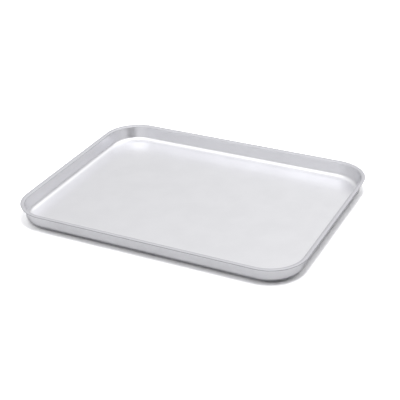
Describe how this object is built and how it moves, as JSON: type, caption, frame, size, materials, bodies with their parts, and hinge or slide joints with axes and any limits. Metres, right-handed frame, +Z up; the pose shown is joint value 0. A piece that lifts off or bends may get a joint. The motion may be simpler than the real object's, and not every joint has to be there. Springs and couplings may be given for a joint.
{
  "type": "aluminium baking tray",
  "caption": "Shallow rectangular aluminium baking tray pressed from one sheet, with rounded corners, low flared walls and a narrow crowned lip.",
  "frame": {"origin": "middle of the flat underside, where the tray stands", "axes": "+Z up out of the open top, +X along the long side, +Y along the short side"},
  "size_m": [0.45, 0.35, 0.026],
  "materials": {
    "tray": "satin"
  },
  "bodies": {
    "root": {"baking_tray": "tray"}
  },
  "joints": []
}
